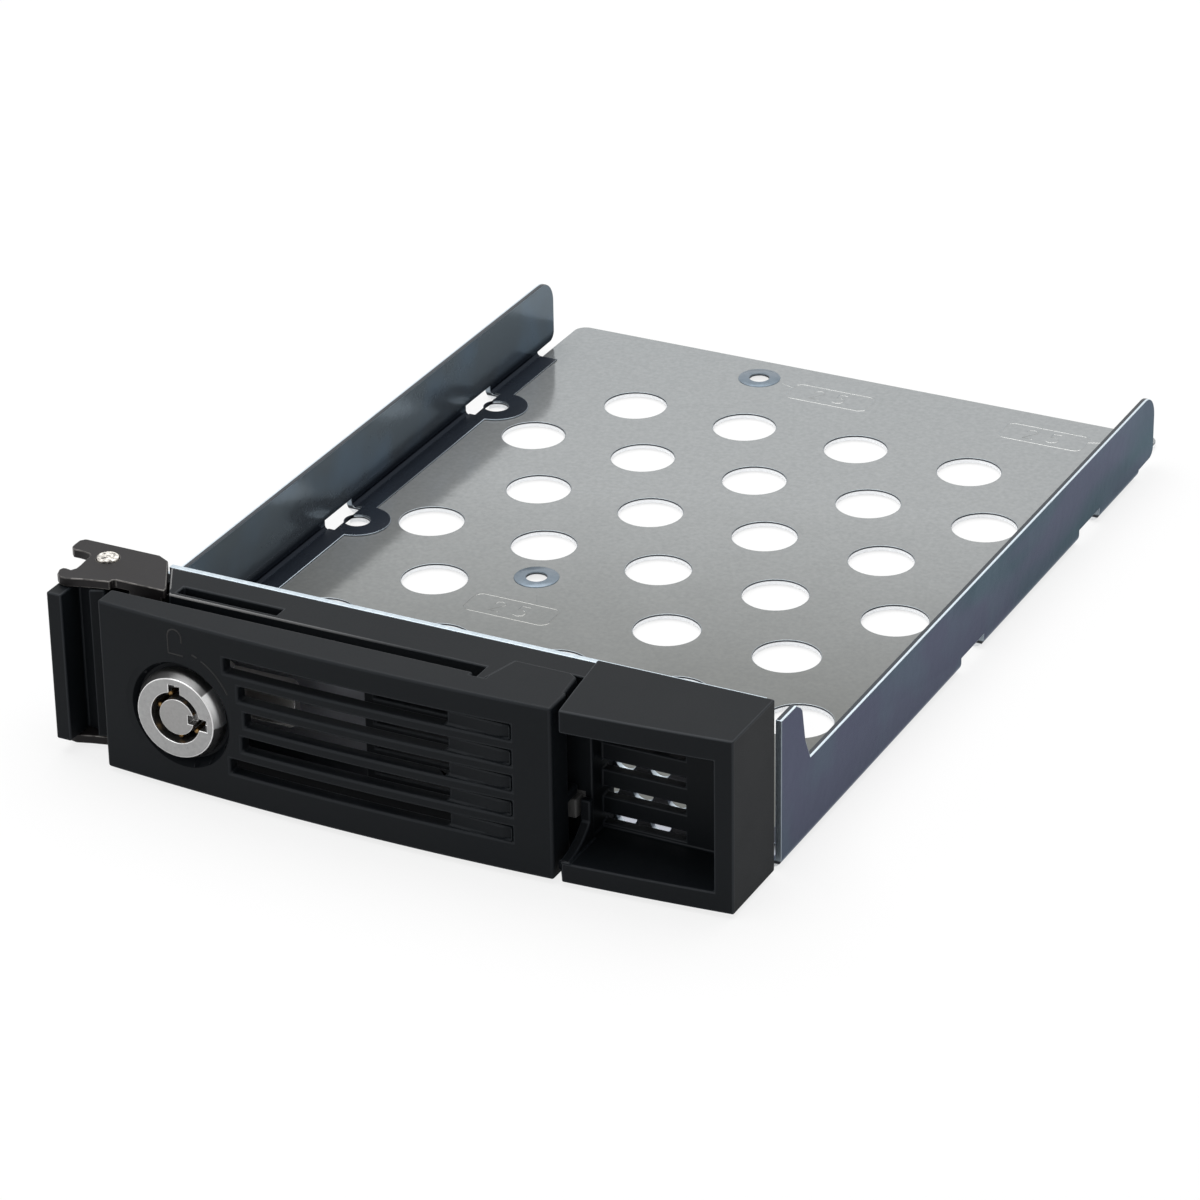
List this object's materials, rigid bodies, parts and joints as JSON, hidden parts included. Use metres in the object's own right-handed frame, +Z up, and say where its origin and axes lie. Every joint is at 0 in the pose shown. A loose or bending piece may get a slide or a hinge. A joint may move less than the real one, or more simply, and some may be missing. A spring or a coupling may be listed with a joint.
{
  "type": "hot swap drive caddy",
  "caption": "Folded steel tray for a server disk drive with a vented plastic front, a finger recess and a swinging lever handle with hooked jaws and a tubular cam lock",
  "frame": {"origin": "centre of the 3.5-inch drive screw pattern, on the underside of the tray floor", "axes": "+X to the right seen from the front, +Y to the rear where the drive's connectors are, +Z up"},
  "size_m": [0.1056, 0.1592, 0.0262],
  "materials": {
    "zinc": "zinc-plated sheet steel with a faint ripple",
    "frame_plastic": "finely textured black moulding",
    "handle_plastic": "finely textured black moulding",
    "black_paint": "black coated sheet steel",
    "pin_steel": "plain steel",
    "screw_steel": "zinc-plated steel",
    "lock_satin": "satin nickel plating",
    "lock_core": "satin steel",
    "key_brass": "plain brass",
    "cam_steel": "zinc-plated steel"
  },
  "bodies": {
    "chassis": {"tray": "zinc", "front_frame": "frame_plastic", "hinge_pin": "pin_steel", "frame_screws": "screw_steel"},
    "lever": {"handle": "handle_plastic", "jaw_bracket": "black_paint", "bracket_screws": "screw_steel", "lock_body": "lock_satin", "lock_washer": "screw_steel", "lock_nut": "screw_steel"},
    "lock_core": {"lock_plug": "lock_core", "key_pins": "key_brass", "lock_cam": "cam_steel", "cam_washer": "screw_steel", "cam_screw": "screw_steel"}
  },
  "joints": [
    {"name": "handle_hinge", "type": "hinge", "parent": "chassis", "child": "lever", "pos_m": [-0.0474, -0.09, 0.0132], "axis": [0, 0, -1], "range_deg": [0, 40]},
    {"name": "lock_turn", "type": "hinge", "parent": "lever", "child": "lock_core", "pos_m": [-0.0295, -0.098, 0.0119], "axis": [0, -1, 0], "range_deg": [0, 90]}
  ]
}
